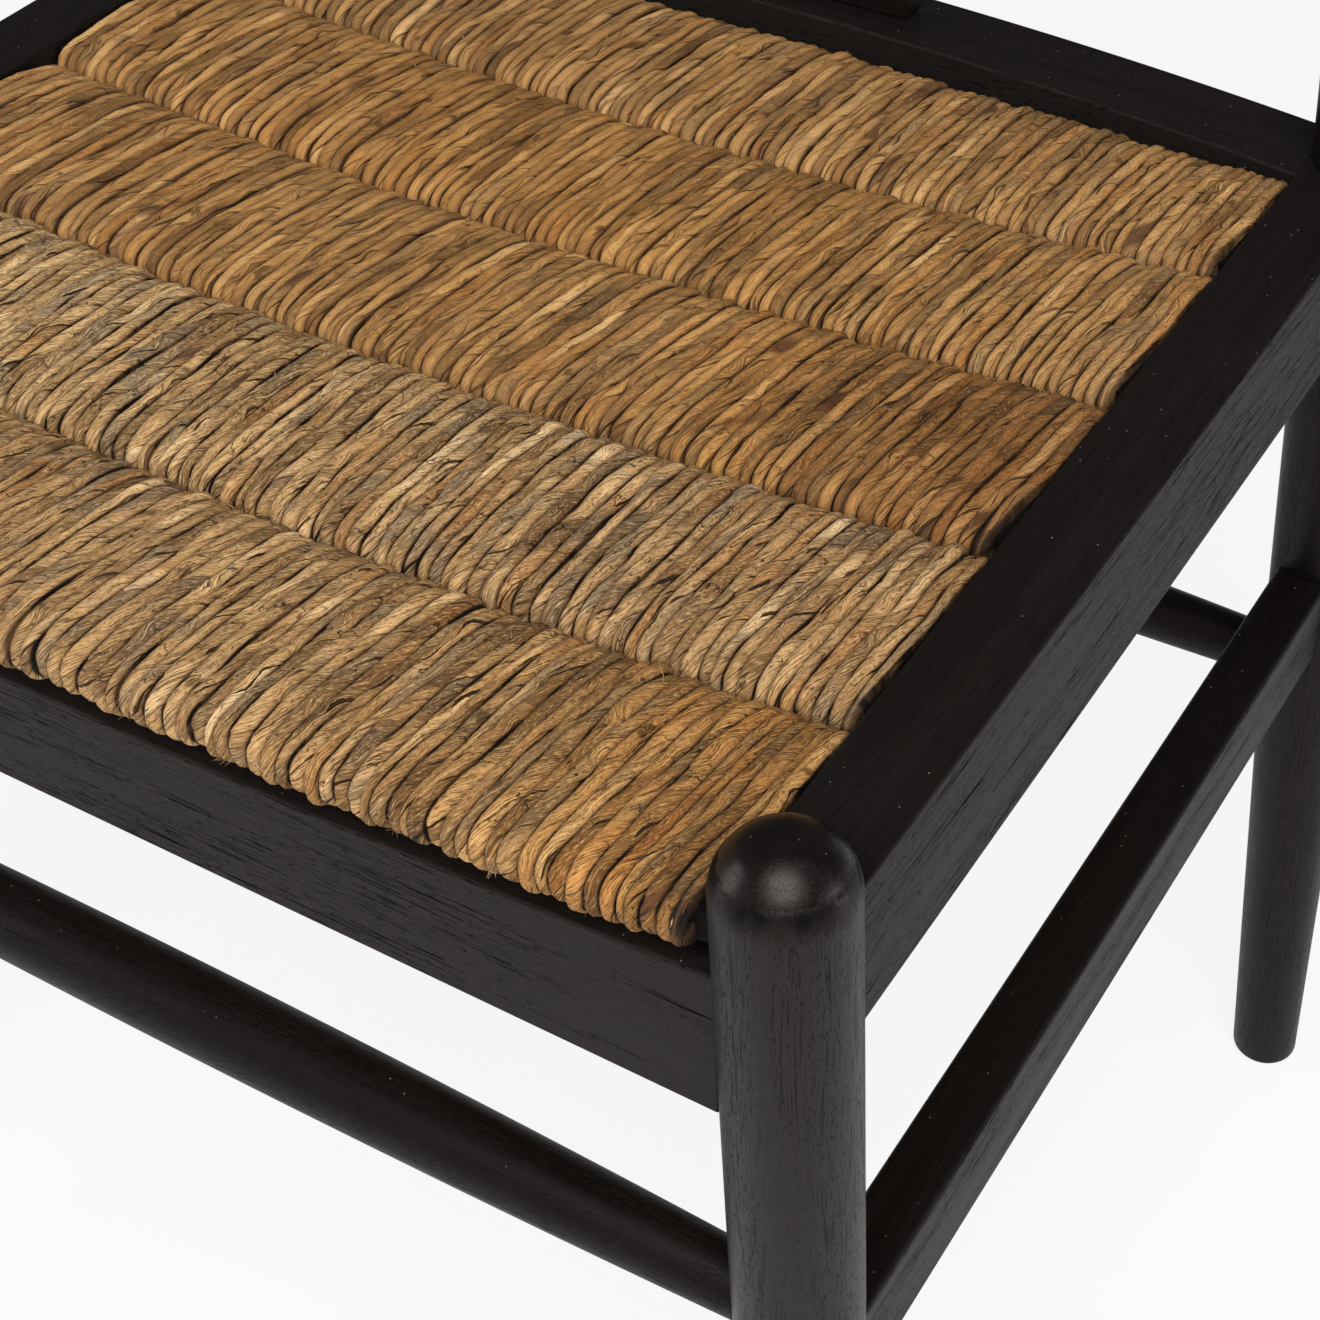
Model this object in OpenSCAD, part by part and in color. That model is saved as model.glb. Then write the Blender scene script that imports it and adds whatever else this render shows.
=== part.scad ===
// Black teak side chair with a dished seat of five cord-wrapped slats.
// Millimetres, +Z up, the front faces -Y, origin on the floor under the middle of the chair.

/* [Overall] */
// Width over the outer faces of the two side rails
seat_w = 500; // [450:1:560]
// Height of the top of the side rails above the floor
seat_h = 473; // [440:1:500]
// Distance from the front leg axes to the back post axes
leg_span = 408; // [380:1:460]
// Height of the back posts above the side rails
post_rise = 350; // [300:1:420]

/* [Legs and posts] */
// Diameter of the legs and posts
leg_d = 38.5; // [36:0.5:42]
// Diameter of a leg at the floor
foot_d = 28.5; // [24:0.5:32]
// Height above the floor where the foot taper starts
taper_h = 240; // [160:1:250]
// Straight part of a front leg above the side rails, below its dome
leg_rise = 10; // [4:1:14]
// Outward splay of the front legs in degrees
front_splay = 1.4; // [0:0.1:3]
// Outward splay of the back posts in degrees
back_splay = 2.7; // [0:0.1:4]
// Distance from a side rail's outer face in to the leg axes
leg_inset = 11.5; // [10:0.5:14]

/* [Side rails] */
// Thickness of a side rail
side_rail_t = 30; // [26:0.5:34]
// Height of a side rail
side_rail_h = 54; // [50:1:64]

/* [Front rail] */
// Thickness of the front rail
front_rail_t = 22; // [18:0.5:24]
// Height of the front rail at its ends
front_rail_h = 55; // [50:1:62]
// Distance of its outer face in front of the front leg axes
front_rail_set = 7; // [5:0.5:9]

/* [Back rail] */
// Thickness of the back rail
back_rail_t = 36.5; // [32:0.5:38]
// Height of the back rail
back_rail_h = 54; // [50:1:60]
// Backward bow of the back rail and crest rail at mid width
back_bow = 16; // [8:1:24]
// Step of the back rail's top below the side rails
back_rail_drop = 2; // [0.5:0.5:4]

/* [Stretchers] */
// Thickness of a side stretcher
side_str_t = 21; // [18:0.5:24]
// Height of a side stretcher
side_str_h = 38; // [32:1:42]
// Top of the side stretchers below the top of the side rails
side_str_drop = 176.5; // [174:0.5:180]
// Axis of the front stretcher below the top of the side rails
front_str_drop = 165; // [160:1:167]
// Axis of the back stretcher below the top of the side rails
back_str_drop = 236; // [234:1:250]
// Diameter of the round stretchers at mid length
round_str_d = 28; // [24:0.5:32]
// Diameter of the round stretchers at the legs
round_end_d = 20; // [17:0.5:22]

/* [Seat] */
// Depth of the seat's dish at mid width
dish = 9; // [4:1:14]
// Height of the wrapped rolls' crest over the side rails, at the rails
crest_over = 1; // [0:0.5:3]
// Thickness of the wooden slats
slat_t = 11; // [9:0.5:12]
// Thickness of the cord wound round a slat
cord_t = 5.5; // [5:0.5:7]
// Gap between neighbouring wrapped rolls
roll_gap = 2.5; // [2:0.5:4]
// Overhang of the front roll past the front rail's outer face
roll_over = 3; // [1:0.5:5]

/* [Backrest] */
// Width of the central back splat
splat_w = 98; // [70:1:120]
// Thickness of the back splat
splat_t = 12; // [10:0.5:14]
// Setting of the splat behind the middle of the back rail
splat_set = 1.5; // [0:0.5:3]
// Height of the crest rail
crest_h = 72; // [60:1:90]
// Thickness of the crest rail
crest_t = 21; // [18:0.5:24]
// Top of the crest rail below the tops of the posts
crest_drop = 14; // [8:1:24]

/* [Joints and fits] */
// Glue gap all round a tenon and at a coped shoulder
fit = 0.15; // [0.1:0.05:0.25]
// Thickness of the rail and stretcher tenons
tenon_t = 11; // [9:0.5:12]
// Depth of the slat tenons in the side rails
slat_tenon = 12; // [8:1:16]
// Depth of the splat tenons
splat_tenon = 14; // [8:1:18]
// Gap between a wrapped roll and the rail beside it
wrap_gap = 1; // [0.8:0.1:1.6]
// Gap between the underside of the front roll and the front rail, at the legs
front_gap = 4; // [2:0.5:6]
// Gap between the last roll and the back rail
rear_gap = 2.5; // [1.5:0.5:4]
// Thickness of the foot glides
glide_t = 3; // [2:0.5:4]
// Diameter of the foot glides
glide_d = 21; // [16:0.5:23]

/* [Hidden] */
$fn = 96;
arc_fn = 1440;

// Colours
black = [0.11, 0.105, 0.10];
pale_core = [0.45, 0.33, 0.2];
straw = [0.66, 0.50, 0.30];
nylon = [0.2, 0.2, 0.2];

// Leg axes. The whole chair is centred between the front legs' faces and the bowed back rail.
leg_x = seat_w / 2 - leg_inset;
centre_shift = (leg_d - back_rail_t) / 4 - back_bow / 2;
front_y = -leg_span / 2 + centre_shift;
back_y = leg_span / 2 + centre_shift;
post_top = seat_h + post_rise;
function axis_x(splay, z) = leg_x + tan(splay) * (seat_h - z);

// Rail faces
inner_x = seat_w / 2 - side_rail_t;
front_face = front_y - front_rail_set;
roll_t = slat_t + 2 * cord_t;
front_top = seat_h + crest_over - roll_t - front_gap;
back_top = seat_h - back_rail_drop;

// Tenons, stepped in height so that two of them can enter one leg
tenon_step = 8;
side_tenon_top = seat_h - tenon_step;
side_tenon_h = 22;
low_tenon_top = side_tenon_top - side_tenon_h - tenon_step;
low_tenon_h = 14;
front_tenon_h = low_tenon_top - (front_top - front_rail_h) - tenon_step;
tenon_past = 4;
str_tenon_t = 10;
str_shoulder = 6;

// Bow of the back rail: an arc through the post axes, in plan
bow_r = (inner_x * inner_x + back_bow * back_bow) / (2 * back_bow);
bow_y = back_y + back_bow - bow_r;
function rail_inner(x) = bow_y + sqrt(pow(bow_r - back_rail_t / 2, 2) - x * x);

// Dish of the seat: an arc across the width, lowest in the middle
dish_r = (inner_x * inner_x + dish * dish) / (2 * dish);
function sag(x) = sqrt(dish_r * dish_r - x * x) - sqrt(dish_r * dish_r - inner_x * inner_x);

// Rolls: equal pitch from the front overhang to the back rail
seat_front = front_face - roll_over;
roll_pitch = (rail_inner(0) - rear_gap - seat_front + roll_gap) / 5;
wrap_half = inner_x - wrap_gap;
function wrap_front(i) = seat_front + (i - 1) * roll_pitch;
function wrap_back(i, x) = i < 5 ? wrap_front(i) + roll_pitch - roll_gap : rail_inner(x) - rear_gap;
function wrap_mid_z(x) = seat_h + crest_over - roll_t / 2 - sag(x);
slat_z = wrap_mid_z(inner_x);
bore_gap = 2 * fit;
slat_shoulder = 6;

// Crest rail
crest_top = post_top - crest_drop;
crest_bottom = crest_top - crest_h;
crest_end = 10;
crest_half = axis_x(back_splay, crest_top);
splat_y = back_y + back_bow + splat_set;

// Foot of a leg, with its glide and nail
nail_d = 2.5;
nail_h = 14;
nail_gap = 0.1;

module on_both_sides() {
    children();
    mirror([1, 0, 0]) children();
}

// Side view outline of a turned leg, from the foot to the dome, grown by a gap
module leg_outline(height, grow) {
    r = leg_d / 2 + grow;
    foot = foot_d / 2 + grow;
    polygon([
        [0, -leg_d], [foot, -leg_d], [foot, 0], [r, taper_h], [r, height], [0, height]
    ]);
    translate([0, height]) intersection() {
        circle(r = r);
        square([r, r]);
    }
}

// A turned leg on its splayed axis, on the right side
module leg_blank(y, splay, top, grow = 0) {
    translate([leg_x, y, seat_h]) rotate([0, -splay, 0]) translate([0, 0, -seat_h])
        rotate_extrude() leg_outline(top - leg_d / 2, grow);
}

module front_blank(grow = 0) {
    leg_blank(front_y, front_splay, seat_h + leg_rise + leg_d / 2, grow);
}

module back_blank(grow = 0) {
    leg_blank(back_y, back_splay, post_top, grow);
}

// Tenon of a side rail, at the front or the back leg, on the right side
module side_tenon(y, splay, towards, grow = 0) {
    x = axis_x(splay, side_tenon_top);
    reach = leg_d / 2 + tenon_past;
    start = towards < 0 ? y - tenon_past : y + tenon_past - reach;
    translate([x - tenon_t / 2 - grow, start - grow, side_tenon_top - side_tenon_h - grow])
        cube([tenon_t + 2 * grow, reach + 2 * grow, side_tenon_h + 2 * grow]);
}

// Tenon of the front, back or crest rail, on the right side
module cross_tenon(y, splay, top, height, grow = 0) {
    x = axis_x(splay, top - height / 2);
    reach = leg_d / 2 + 2 * tenon_past;
    translate([x + tenon_past - reach - grow, y - tenon_t / 2 - grow, top - height - grow])
        cube([reach + 2 * grow, tenon_t + 2 * grow, height + 2 * grow]);
}

// Centre line of the side stretchers
side_str_mid = seat_h - side_str_drop - side_str_h / 2;
side_str_x = (axis_x(front_splay, side_str_mid) + axis_x(back_splay, side_str_mid)) / 2;

// Tenons of a side stretcher, one long bar whose ends lie in the two legs
module side_str_tenon(grow = 0) {
    inner_h = side_str_h - 2 * str_shoulder;
    translate([side_str_x - str_tenon_t / 2 - grow, front_y - tenon_past - grow,
               side_str_mid - inner_h / 2 - grow])
        cube([str_tenon_t + 2 * grow, leg_span + 2 * tenon_past + 2 * grow, inner_h + 2 * grow]);
}

// Round end of a cross stretcher, on the right side
module round_tenon(y, splay, z, grow = 0) {
    reach = leg_d / 2 + 2 * tenon_past;
    translate([axis_x(splay, z) + tenon_past - reach - grow, y, z]) rotate([0, 90, 0])
        cylinder(d = round_end_d - tenon_past + 2 * grow, h = reach + 2 * grow);
}

// Tenon of the splat, down into the back rail or up into the crest rail
module splat_tenons(grow = 0) {
    width = splat_w - 4 * str_shoulder;
    thick = splat_t - tenon_past;
    translate([-width / 2 - grow, splat_y - thick / 2 - grow, back_top - splat_tenon - grow])
        cube([width + 2 * grow, thick + 2 * grow,
              crest_bottom - back_top + 2 * splat_tenon + 2 * grow]);
}

module foot_cut() {
    translate([0, front_y - leg_d, glide_t - seat_h])
        cube([seat_w, leg_span + 2 * leg_d, seat_h]);
}

module nail_bore(y, splay) {
    translate([axis_x(splay, 0), y, 0])
        cylinder(d = nail_d + 2 * nail_gap, h = glide_t + nail_h + nail_gap);
}

// Front leg: turned, tapered at the foot and domed above the rails, mortised on two sides
module front_leg() {
    color(black) difference() {
        front_blank();
        foot_cut();
        nail_bore(front_y, front_splay);
        side_tenon(front_y, front_splay, -1, fit);
        cross_tenon(front_y, front_splay, low_tenon_top, front_tenon_h, fit);
        side_str_tenon(fit);
        round_tenon(front_y, front_splay, seat_h - front_str_drop, fit);
    }
}

// Back post: one turned piece from the floor past the crest rail
module back_post() {
    color(black) difference() {
        back_blank();
        foot_cut();
        nail_bore(back_y, back_splay);
        side_tenon(back_y, back_splay, 1, fit);
        cross_tenon(back_y, back_splay, low_tenon_top, low_tenon_h, fit);
        cross_tenon(back_y, back_splay, crest_top - crest_end, crest_h - 2 * crest_end, fit);
        side_str_tenon(fit);
        round_tenon(back_y, back_splay, seat_h - back_str_drop, fit);
    }
}

// Plan shape between the posts, bowed backwards, of a given thickness and given half widths
// in front of the post axes and behind them
module bowed_plan(thick, front_half, back_half) {
    intersection() {
        translate([0, bow_y]) difference() {
            circle(r = bow_r + thick / 2, $fn = arc_fn);
            circle(r = bow_r - thick / 2, $fn = arc_fn);
        }
        union() {
            translate([-front_half, back_y - leg_d]) square([2 * front_half, leg_d]);
            translate([-back_half, back_y]) square([2 * back_half, 2 * leg_d]);
        }
    }
}

// Front rail: a board between the front legs, its top edge scooped with the seat's dish
module front_rail() {
    color(black) union() {
        difference() {
            translate([-leg_x, front_face, front_top - front_rail_h])
                cube([2 * leg_x, front_rail_t, front_rail_h]);
            translate([0, front_face - front_rail_t, front_top - dish + dish_r])
                rotate([-90, 0, 0]) cylinder(r = dish_r, h = 3 * front_rail_t, $fn = arc_fn);
            on_both_sides() front_blank(fit);
            on_both_sides() translate([inner_x - fit, front_y, seat_h - seat_w])
                cube([seat_w, front_rail_t, seat_w]);
        }
        on_both_sides() intersection() {
            cross_tenon(front_y, front_splay, low_tenon_top, front_tenon_h);
            translate([0, front_face, 0]) cube([seat_w, front_rail_t, seat_h]);
        }
    }
}

// Back rail: a thick board bowed backwards between the posts
module back_rail() {
    color(black) difference() {
        union() {
            difference() {
                translate([0, 0, back_top - back_rail_h])
                    linear_extrude(back_rail_h) bowed_plan(back_rail_t, inner_x - fit, leg_x);
                on_both_sides() back_blank(fit);
            }
            on_both_sides() cross_tenon(back_y, back_splay, low_tenon_top, low_tenon_h);
        }
        splat_tenons(fit);
    }
}

// Side rail: a straight board coped to both legs, mortised for the five slats and notched
// round the tenons of the front and back rails
module side_rail() {
    color(black) difference() {
        union() {
            difference() {
                translate([inner_x, front_y, seat_h - side_rail_h])
                    cube([side_rail_t, leg_span, side_rail_h]);
                front_blank(fit);
                back_blank(fit);
            }
            side_tenon(front_y, front_splay, -1);
            side_tenon(back_y, back_splay, 1);
        }
        for (i = [1:5]) slat_tenon_bar(i, fit);
        cross_tenon(front_y, front_splay, low_tenon_top, front_tenon_h, fit);
        cross_tenon(back_y, back_splay, low_tenon_top, low_tenon_h, fit);
    }
}

// Side stretcher: a straight bar of upright section between a front leg and a back post
module side_stretcher() {
    color(black) union() {
        difference() {
            translate([side_str_x - side_str_t / 2, front_y, side_str_mid - side_str_h / 2])
                cube([side_str_t, leg_span, side_str_h]);
            front_blank(fit);
            back_blank(fit);
        }
        side_str_tenon();
    }
}

// Half outline of a round stretcher, thinning towards the legs
str_bays = 24;
module round_str_outline(half) {
    rise = (round_str_d - round_end_d) / 2;
    polygon([
        [0, -half],
        for (s = [0:str_bays]) let (t = 2 * s / str_bays - 1) [round_end_d / 2 + rise * (1 - t * t), half * t],
        [0, half]
    ]);
}

// Round stretcher between two legs of one splay
module round_stretcher(y, splay, z) {
    color(black) union() {
        difference() {
            translate([0, y, z]) rotate([0, 90, 0])
                rotate_extrude() round_str_outline(axis_x(splay, z));
            on_both_sides() leg_blank(y, splay, post_top, fit);
        }
        on_both_sides() round_tenon(y, splay, z);
    }
}

// Slat's end tenon, on the right side, and the pocket that it fills. The first slat's
// tenon starts behind the front leg.
module slat_tenon_bar(i, grow = 0) {
    y_from = slat_shoulder + (i > 1 ? wrap_front(i) + cord_t : front_y + leg_d / 2);
    y_to = wrap_back(i, inner_x) - cord_t - slat_shoulder;
    translate([wrap_half - slat_tenon, y_from - grow, slat_z - slat_t / 2 - grow])
        cube([2 * slat_tenon + wrap_gap + grow, y_to - y_from + 2 * grow, slat_t + 2 * grow]);
}

// Seat slat: a dished board across the seat, its ends tenoned into the side rails
module seat_slat(i) {
    y_from = wrap_front(i) + cord_t;
    y_to = wrap_back(i, 0) - cord_t;
    arc_z = slat_z - dish + dish_r;
    color(pale_core) union() {
        intersection() {
            translate([0, y_from, arc_z]) rotate([-90, 0, 0]) linear_extrude(y_to - y_from) difference() {
                circle(r = dish_r + slat_t / 2, $fn = arc_fn);
                circle(r = dish_r - slat_t / 2, $fn = arc_fn);
            }
            translate([-wrap_half, y_from, seat_h - seat_w / 2])
                cube([2 * wrap_half, y_to - y_from, seat_w / 2]);
            if (i == 5)
                translate([0, bow_y, seat_h - seat_w / 2])
                    cylinder(r = bow_r - back_rail_t / 2 - rear_gap - cord_t, h = seat_w, $fn = arc_fn);
        }
        on_both_sides() intersection() {
            slat_tenon_bar(i);
            translate([wrap_half - tenon_past / 2, -seat_w, 0]) cube([seat_w, 2 * seat_w, seat_h]);
        }
    }
}

// Rounded section of a wrapped roll: square-shouldered with a soft crown
ring_n = 16;
bays = 10;
shoulder = 3.4;
function soft(v) = sign(v) * pow(abs(v), 2 / shoulder);
function outer_ring(i, x) = [
    for (k = [0:ring_n - 1]) let (
        a = 360 * k / ring_n,
        mid = (wrap_front(i) + wrap_back(i, x)) / 2,
        half = (wrap_back(i, x) - wrap_front(i)) / 2
    ) [x, mid + half * soft(cos(a)), wrap_mid_z(x) + roll_t / 2 * soft(sin(a))]
];
function bore_ring(i, x) = [
    for (k = [0:ring_n - 1]) let (
        a = 360 * k / ring_n,
        reach = max(abs(cos(a)), abs(sin(a))),
        mid = (wrap_front(i) + wrap_back(i, x)) / 2,
        half = (wrap_back(i, x) - wrap_front(i)) / 2 - cord_t + bore_gap
    ) [x, mid + half * cos(a) / reach,
       wrap_mid_z(x) + (slat_t / 2 + bore_gap) * sin(a) / reach]
];

// Wound cord round one slat, as a closed tube of its outer shape with the slat's bore
module seat_wrap(i) {
    stations = [for (s = [0:bays]) wrap_half * (2 * s / bays - 1)];
    points = [
        for (x = stations) each outer_ring(i, x),
        for (x = stations) each bore_ring(i, x)
    ];
    bore = ring_n * (bays + 1);
    last = ring_n * bays;
    faces = [
        for (s = [0:bays - 1], k = [0:ring_n - 1]) let (
            n = (k + 1) % ring_n, a = s * ring_n, b = a + ring_n
        ) each [
            [a + k, b + k, b + n], [a + k, b + n, a + n],
            [bore + a + k, bore + b + n, bore + b + k], [bore + a + k, bore + a + n, bore + b + n]
        ],
        for (k = [0:ring_n - 1]) let (n = (k + 1) % ring_n) each [
            [k, n, bore + n], [k, bore + n, bore + k],
            [last + k, bore + last + n, last + n], [last + k, bore + last + k, bore + last + n]
        ]
    ];
    color(straw) polyhedron(points, faces);
}

// Back splat: a flat upright board between the back rail and the crest rail
module back_splat() {
    color(black) union() {
        translate([-splat_w / 2, splat_y - splat_t / 2, back_top])
            cube([splat_w, splat_t, crest_bottom - back_top]);
        splat_tenons();
    }
}

// Crest rail: a board bowed like the back rail, tenoned into both posts
module crest_rail() {
    color(black) difference() {
        union() {
            difference() {
                translate([0, 0, crest_bottom]) linear_extrude(crest_h)
                    bowed_plan(crest_t, crest_half, crest_half);
                on_both_sides() back_blank(fit);
            }
            on_both_sides()
                cross_tenon(back_y, back_splay, crest_top - crest_end, crest_h - 2 * crest_end);
        }
        splat_tenons(fit);
    }
}

// Foot glide: a disc with a nail driven up into the foot
module glide(y, splay) {
    color(nylon) translate([axis_x(splay, 0), y, 0]) {
        cylinder(d = glide_d, h = glide_t);
        cylinder(d = nail_d, h = glide_t + nail_h);
    }
}

mirror([1, 0, 0]) front_leg();  // front_leg_left
front_leg();  // front_leg_right
mirror([1, 0, 0]) back_post();  // back_post_left
back_post();  // back_post_right
front_rail();
back_rail();
mirror([1, 0, 0]) side_rail();  // side_rail_left
side_rail();  // side_rail_right
round_stretcher(front_y, front_splay, seat_h - front_str_drop);  // front_stretcher
round_stretcher(back_y, back_splay, seat_h - back_str_drop);  // back_stretcher
mirror([1, 0, 0]) side_stretcher();  // side_stretcher_left
side_stretcher();  // side_stretcher_right
seat_slat(1);  // seat_slat_1
seat_slat(2);  // seat_slat_2
seat_slat(3);  // seat_slat_3
seat_slat(4);  // seat_slat_4
seat_slat(5);  // seat_slat_5
seat_wrap(1);  // seat_wrap_1
seat_wrap(2);  // seat_wrap_2
seat_wrap(3);  // seat_wrap_3
seat_wrap(4);  // seat_wrap_4
seat_wrap(5);  // seat_wrap_5
back_splat();
crest_rail();
mirror([1, 0, 0]) glide(front_y, front_splay);  // glide_front_left
glide(front_y, front_splay);  // glide_front_right
mirror([1, 0, 0]) glide(back_y, back_splay);  // glide_back_left
glide(back_y, back_splay);  // glide_back_right
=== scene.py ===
from math import cos, pi, radians, sin, sqrt, tau

import bmesh
import bpy
import numpy as np
from mathutils import Matrix, Vector


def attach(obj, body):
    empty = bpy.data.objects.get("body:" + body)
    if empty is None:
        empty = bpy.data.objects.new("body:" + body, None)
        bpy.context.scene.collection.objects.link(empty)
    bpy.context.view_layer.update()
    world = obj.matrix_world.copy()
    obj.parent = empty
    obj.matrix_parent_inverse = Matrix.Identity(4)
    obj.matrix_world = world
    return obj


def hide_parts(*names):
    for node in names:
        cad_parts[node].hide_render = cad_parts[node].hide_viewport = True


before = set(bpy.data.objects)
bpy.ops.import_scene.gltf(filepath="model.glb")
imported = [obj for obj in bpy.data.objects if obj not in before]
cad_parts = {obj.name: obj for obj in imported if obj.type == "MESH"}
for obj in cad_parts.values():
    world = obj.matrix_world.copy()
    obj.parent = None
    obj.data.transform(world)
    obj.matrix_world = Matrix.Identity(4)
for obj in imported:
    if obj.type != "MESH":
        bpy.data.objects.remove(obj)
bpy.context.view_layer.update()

# The viewpoint: a close look down at the front right corner of the seat, from the front
# right. Only the corner of the chair is in the picture.
viewpoint = bpy.data.cameras.new("viewpoint")
viewpoint.sensor_width = 36
viewpoint.lens = 68.74
viewpoint.shift_x = -0.0985
viewpoint.shift_y = -0.0758
viewpoint.clip_start = 0.05
viewpoint.clip_end = 60
stand = bpy.data.objects.new("viewpoint", viewpoint)
stand.location = (0.4458, -0.5690, 0.9381)
stand.rotation_euler = (radians(49.744), 0, radians(29.977))
bpy.context.collection.objects.link(stand)
bpy.context.scene.camera = stand
bpy.context.scene.view_settings.view_transform = "Standard"


# The studio: a white floor under a dim, even room, with a large soft lamp over the
# viewer's shoulder and a lower one at each side.
class Shade:
    """One socket of a finish, so that sums of sockets are written as sums."""

    def __init__(self, tree, socket=None):
        self.tree = tree
        self.socket = socket

    def node(self, kind, sockets=(), out=0, stops=(), **settings):
        made = self.tree.nodes.new("ShaderNode" + kind)
        for name, value in settings.items():
            setattr(made, name, value)
        for step, (spot, colour) in enumerate(stops):
            ramp = made.color_ramp.elements
            mark = ramp[step] if step < len(ramp) else ramp.new(spot)
            mark.position = spot
            mark.color = (*colour, 1)
        for name, value in dict(sockets).items():
            if isinstance(value, Shade):
                self.tree.links.new(value.socket, made.inputs[name])
            else:
                made.inputs[name].default_value = value
        return Shade(self.tree, made.outputs[out]) if made.outputs else made

    def maths(self, operation, first, second=0.0):
        return self.node("Math", {0: first, 1: second}, operation=operation)

    def __add__(self, other):
        return self.maths("ADD", self, other)

    def __radd__(self, other):
        return self.maths("ADD", other, self)

    def __sub__(self, other):
        return self.maths("SUBTRACT", self, other)

    def __rsub__(self, other):
        return self.maths("SUBTRACT", other, self)

    def __mul__(self, other):
        return self.maths("MULTIPLY", self, other)

    def __rmul__(self, other):
        return self.maths("MULTIPLY", other, self)

    def between(self, low, high):
        """0 below low, 1 above high, smooth in between; low over high turns it round."""
        return self.node("MapRange", {"Value": self, "From Min": low, "From Max": high},
                         interpolation_type="SMOOTHSTEP")

    def tint(self, first, second):
        """The first colour where this is 0, the second where it is 1."""
        return self.node("Mix", {0: self, 6: first, 7: second}, out=2, data_type="RGBA")

    def multiply(self, amount, first, second, clamp=False):
        """The first colour where amount is 0, its product with the second where it is 1."""
        return self.node("Mix", {0: amount, 6: first, 7: second}, out=2, data_type="RGBA",
                         blend_type="MULTIPLY", clamp_result=clamp)

    def axis(self, vector, number):
        return self.node("SeparateXYZ", {0: vector}, out=number)

    def noise(self, place, scale, detail):
        return self.node("TexNoise", {"Vector": place, "Scale": scale, "Detail": detail})

    def surface(self, colour, rough, height, shine=0.5, shine_tint=(1, 1, 1, 1)):
        """A skin of one colour and roughness, with a relief given in metres."""
        relief = self.node("Bump", {"Height": height, "Strength": 1.0, "Distance": 1.0})
        return self.node("BsdfPrincipled", {
            "Base Color": colour, "Roughness": rough, "Normal": relief,
            "Specular IOR Level": shine, "Specular Tint": shine_tint})


def new_finish(name):
    finish = bpy.data.materials.new(name)
    finish.use_nodes = True
    finish.node_tree.nodes.clear()
    return finish, Shade(finish.node_tree)


def rgb(red, green, blue):
    return (red, green, blue, 1)


floor_white, paint = new_finish("floor white")
seen_direct = paint.node("LightPath", out="Is Camera Ray")
seen_mirrored = paint.node("LightPath", out="Is Glossy Ray")
seen_white = seen_direct * 0.86 + seen_mirrored * 0.60
lit = paint.node("BsdfDiffuse", {"Color": rgb(0.86, 0.86, 0.86)})
white = paint.node("Emission", {"Color": rgb(1, 1, 1), "Strength": 1.0})
mixed = paint.node("MixShader", {0: seen_white, 1: lit, 2: white})
paint.node("OutputMaterial", {"Surface": mixed})

shape = bmesh.new()
bmesh.ops.create_grid(shape, x_segments=2, y_segments=2, size=7)
mesh = bpy.data.meshes.new("floor")
shape.to_mesh(mesh)
shape.free()
mesh.materials.append(floor_white)
floor = bpy.data.objects.new("floor", mesh)
bpy.context.collection.objects.link(floor)

room = bpy.data.worlds.new("room")
bpy.context.scene.world = room
room.use_nodes = True
room.node_tree.nodes.clear()
air = Shade(room.node_tree)
dim = air.node("Background", {"Color": rgb(1, 1, 1), "Strength": 0.10})
bright = air.node("Background", {"Color": rgb(1, 1, 1), "Strength": 1.0})
seen_direct = air.node("LightPath", out="Is Camera Ray")
air.node("OutputWorld", {"Surface": air.node("MixShader", {0: seen_direct, 1: dim, 2: bright})})


def lamp(name, towards, distance, size, power):
    """A round soft lamp that shines on the chair's middle."""
    light = bpy.data.lights.new(name, "AREA")
    light.shape = "DISK"
    light.size = size
    light.energy = power
    holder = bpy.data.objects.new(name, light)
    aim = Vector(towards).normalized()
    holder.location = Vector((0, 0, 0.4)) + aim * distance
    holder.rotation_euler = aim.to_track_quat("Z", "Y").to_euler()
    bpy.context.collection.objects.link(holder)


lamp("shoulder lamp", (0.32, -0.557, 0.766), 3.0, 2.4, 103)
lamp("right lamp", (0.93, 0.20, 0.10), 2.4, 1.0, 12)
lamp("left lamp", (-0.80, -0.45, 0.20), 2.8, 1.4, 22)


# Front legs: turned from teak, tapered to the foot and domed above the rails. The dome is
# sanded to a satin down to a crease; the rest is open-grained, stained black and matt.
leg_x = 0.2385
front_y = -0.2115
seat_h = 0.473
leg_r = 0.01925
foot_r = 0.01425
taper_h = 0.240
front_splay = radians(1.4)
glide_top = 0.003
satin_z = 0.4925


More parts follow.
